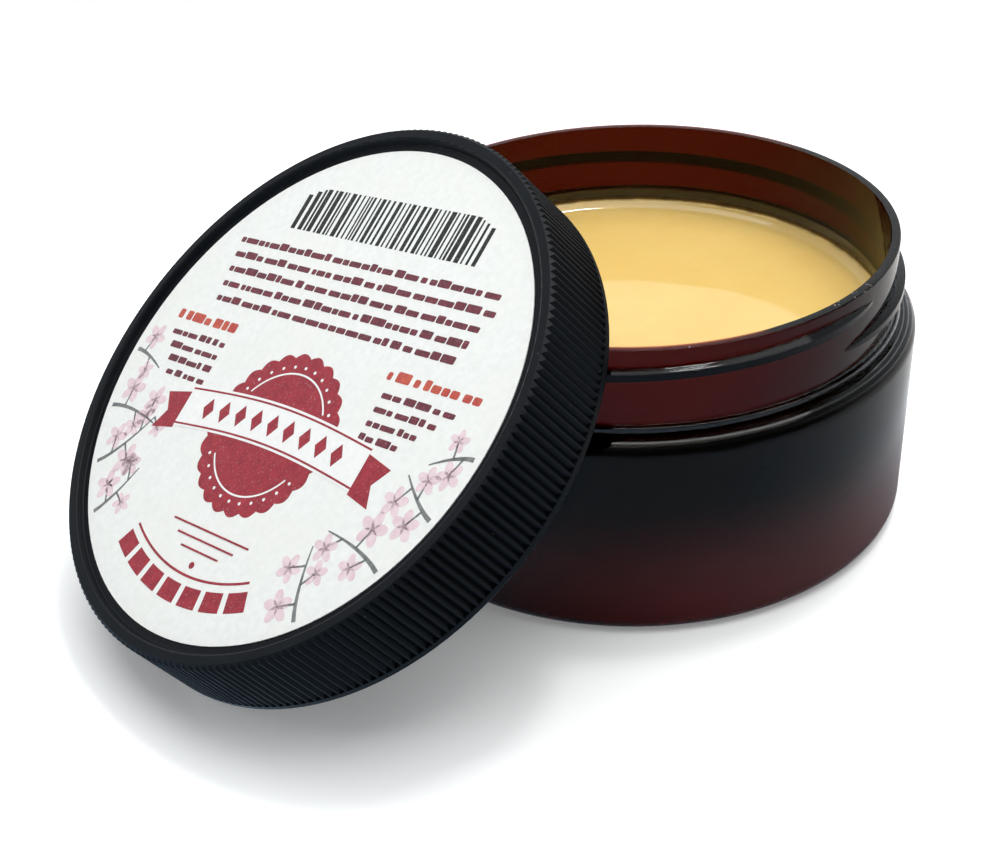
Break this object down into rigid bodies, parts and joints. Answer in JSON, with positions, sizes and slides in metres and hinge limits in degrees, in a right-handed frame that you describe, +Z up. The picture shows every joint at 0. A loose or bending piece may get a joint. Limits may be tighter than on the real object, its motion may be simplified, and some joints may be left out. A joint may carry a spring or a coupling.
{
  "type": "open jar of maple cream",
  "caption": "Low round amber plastic jar of glossy maple cream, open, its ribbed black screw cap with a paper top label leaning on the rim.",
  "frame": {"origin": "on the floor, under the middle of the bounding box of the jar and its leaning cap", "axes": "+Z up; +X from the leaning cap towards the jar; the jar's own axis is parallel to +Z"},
  "size_m": [0.1452, 0.0946, 0.0681],
  "materials": {
    "amber_plastic": "clear amber, glossy, moulded",
    "maple_cream": "smooth glossy cream; stands for food",
    "black_plastic": "satin black, moulded",
    "label_paper": null
  },
  "bodies": {
    "root": {"jar": "amber_plastic", "cream": "maple_cream", "cap": "black_plastic", "label": "label_paper"}
  },
  "joints": []
}
